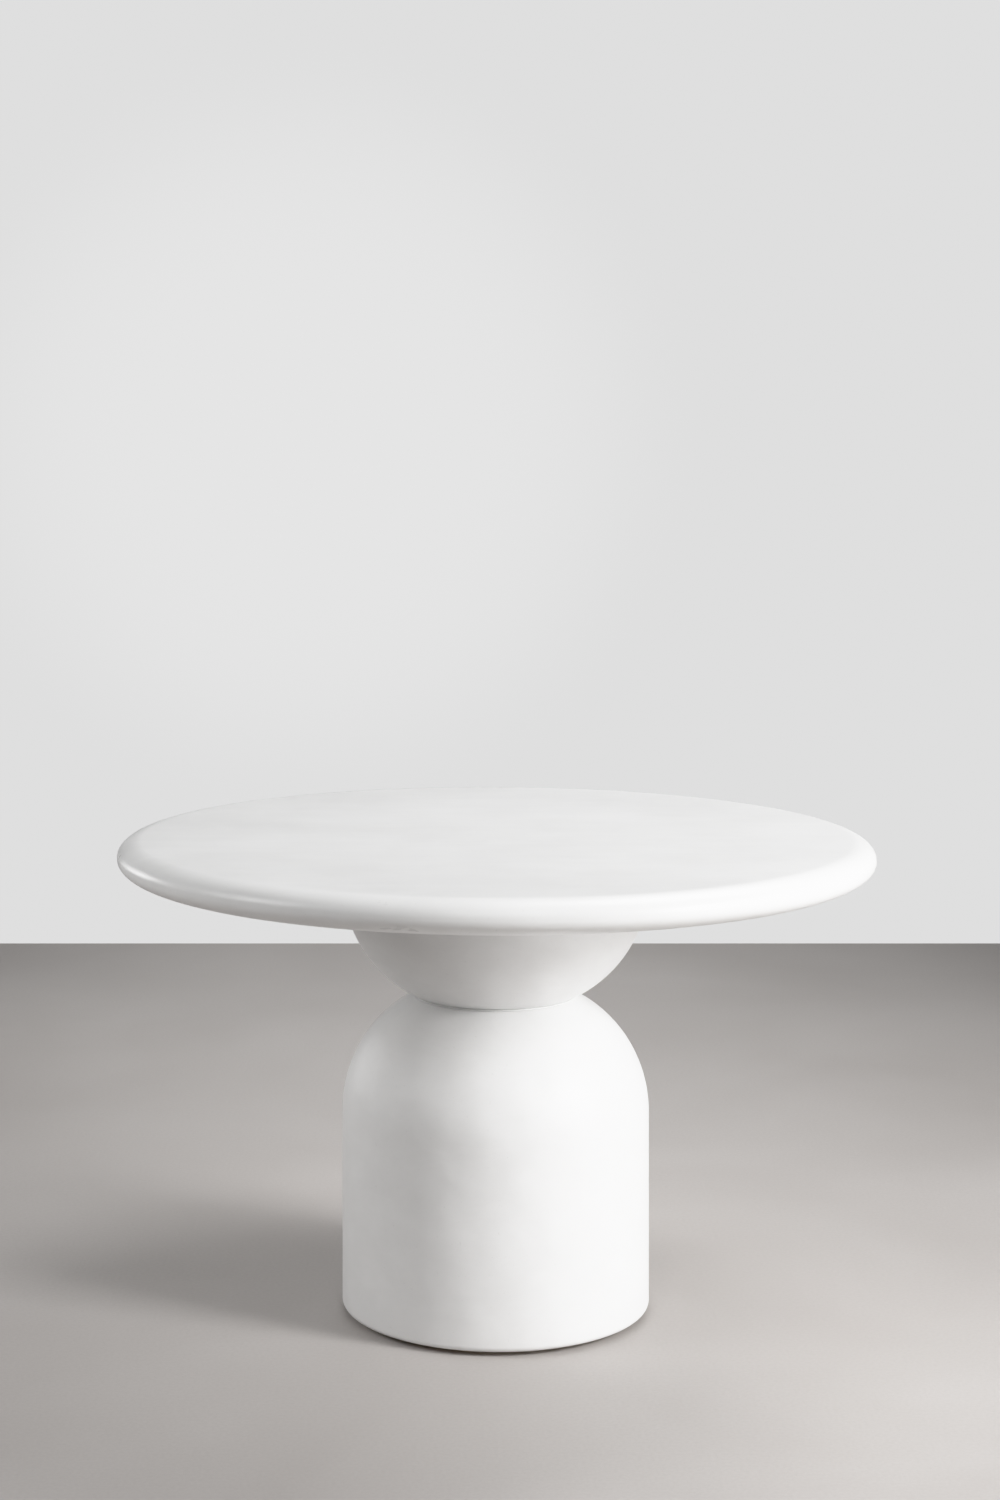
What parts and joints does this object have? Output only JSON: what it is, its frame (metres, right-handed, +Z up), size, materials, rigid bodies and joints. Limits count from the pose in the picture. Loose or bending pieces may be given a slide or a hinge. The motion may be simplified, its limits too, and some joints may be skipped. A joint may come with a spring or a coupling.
{
  "type": "round pedestal table",
  "caption": "Round dining table in white fibre cement: thick top with a rounded edge on an hourglass pedestal of a bowl over a domed drum, with hidden levelling feet.",
  "frame": {"origin": "on the floor under the centre of the table", "axes": "+Z up along the table's axis; X and Y are across the table, with the feet at 45 degrees between them"},
  "size_m": [1.1999, 1.2, 0.75],
  "materials": {
    "white_cement": "matte",
    "honeycomb": "matte",
    "plywood": "matte",
    "black_steel": "satin",
    "zinc_steel": "satin",
    "rubber": "matte",
    "grey_concrete": "matte",
    "glide_plastic": "matte"
  },
  "bodies": {
    "root": {"tabletop_shell": "white_cement", "tabletop_core": "honeycomb", "core_block": "plywood", "underside_skin": "white_cement", "mounting_plate": "black_steel", "plate_sleeves": "zinc_steel", "plate_washers": "zinc_steel", "plate_screws": "zinc_steel", "bowl_shell": "white_cement", "neck_gasket": "rubber", "neck_dowels": "zinc_steel", "drum_shell": "white_cement", "drum_neck_plate": "black_steel", "rod_boss": "zinc_steel", "rod_nut": "zinc_steel", "tie_rod": "zinc_steel", "rod_washer": "zinc_steel", "board_cleats": "plywood", "base_board": "plywood", "board_screws": "zinc_steel", "ballast_block": "grey_concrete", "ballast_bolts": "zinc_steel", "foot_inserts": "zinc_steel"},
    "foot_pad_1": {"foot_pad_1": "glide_plastic"},
    "foot_stem_1": {"foot_stem_1": "zinc_steel"},
    "foot_pad_2": {"foot_pad_2": "glide_plastic"},
    "foot_stem_2": {"foot_stem_2": "zinc_steel"},
    "foot_pad_3": {"foot_pad_3": "glide_plastic"},
    "foot_stem_3": {"foot_stem_3": "zinc_steel"},
    "foot_pad_4": {"foot_pad_4": "glide_plastic"},
    "foot_stem_4": {"foot_stem_4": "zinc_steel"}
  },
  "joints": [
    {"name": "foot_1_extend", "type": "slide", "parent": "root", "child": "foot_pad_1", "axis": [0, 0, -1], "range_m": [0, 0.01]},
    {"name": "foot_1_turn", "type": "hinge", "parent": "foot_pad_1", "child": "foot_stem_1", "pos_m": [0.13435, 0.13435, 0.008], "axis": [0, 0, -1], "range_deg": [0, 2880]},
    {"name": "foot_2_extend", "type": "slide", "parent": "root", "child": "foot_pad_2", "axis": [0, 0, -1], "range_m": [0, 0.01]},
    {"name": "foot_2_turn", "type": "hinge", "parent": "foot_pad_2", "child": "foot_stem_2", "pos_m": [-0.13435, 0.13435, 0.008], "axis": [0, 0, -1], "range_deg": [0, 2880]},
    {"name": "foot_3_extend", "type": "slide", "parent": "root", "child": "foot_pad_3", "axis": [0, 0, -1], "range_m": [0, 0.01]},
    {"name": "foot_3_turn", "type": "hinge", "parent": "foot_pad_3", "child": "foot_stem_3", "pos_m": [-0.13435, -0.13435, 0.008], "axis": [0, 0, -1], "range_deg": [0, 2880]},
    {"name": "foot_4_extend", "type": "slide", "parent": "root", "child": "foot_pad_4", "axis": [0, 0, -1], "range_m": [0, 0.01]},
    {"name": "foot_4_turn", "type": "hinge", "parent": "foot_pad_4", "child": "foot_stem_4", "pos_m": [0.13435, -0.13435, 0.008], "axis": [0, 0, -1], "range_deg": [0, 2880]}
  ],
  "couplings": [
    {"joint": "foot_1_extend", "follows": "foot_1_turn", "m_per_rad": 0.00019894},
    {"joint": "foot_2_extend", "follows": "foot_2_turn", "m_per_rad": 0.00019894},
    {"joint": "foot_3_extend", "follows": "foot_3_turn", "m_per_rad": 0.00019894},
    {"joint": "foot_4_extend", "follows": "foot_4_turn", "m_per_rad": 0.00019894}
  ]
}
